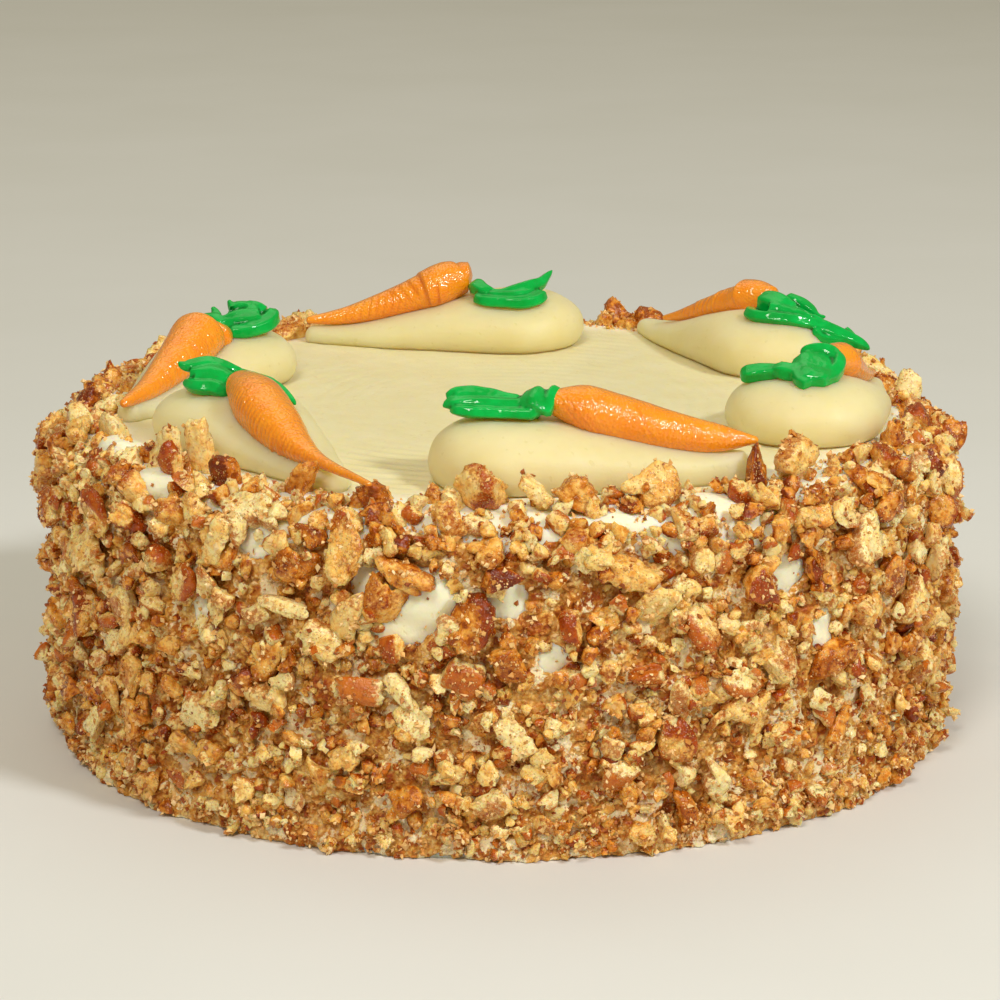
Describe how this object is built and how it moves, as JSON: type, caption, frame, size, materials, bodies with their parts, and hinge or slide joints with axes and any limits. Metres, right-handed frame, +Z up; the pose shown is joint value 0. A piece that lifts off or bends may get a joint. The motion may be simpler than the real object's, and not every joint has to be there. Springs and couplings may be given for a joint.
{
  "type": "carrot cake",
  "caption": "Round frosted carrot cake, its sides and rim coated with chopped pecans, its top set with piped frosting teardrops that each carry an icing carrot and its green leaves.",
  "frame": {"origin": "middle of the cake's flat underside, on the surface that it stands on", "axes": "+Z up through the middle of the cake; -Y is the front, towards the viewer; +X to the viewer's right"},
  "size_m": [0.2146, 0.2151, 0.0936],
  "materials": {
    "nut_coat": "chopped pecans over pale frosting, rough, with a slight oily sheen",
    "frosting": "smooth pale butter-yellow cream frosting, soft satin",
    "carrot_icing": "orange piped icing, satin to glossy",
    "leaf_icing": "deep green piped icing, glossy"
  },
  "bodies": {
    "root": {"frosted_cake": "nut_coat", "teardrop_front": "frosting", "carrot_front": "carrot_icing", "leaf_front": "leaf_icing", "teardrop_right": "frosting", "carrot_right": "carrot_icing", "leaf_right": "leaf_icing", "teardrop_right_back": "frosting", "carrot_right_back": "carrot_icing", "leaf_right_back": "leaf_icing", "teardrop_back": "frosting", "carrot_back": "carrot_icing", "leaf_back": "leaf_icing", "teardrop_left_back": "frosting", "carrot_left_back": "carrot_icing", "leaf_left_back": "leaf_icing", "teardrop_left_front": "frosting", "carrot_left_front": "carrot_icing", "leaf_left_front": "leaf_icing"}
  },
  "joints": []
}
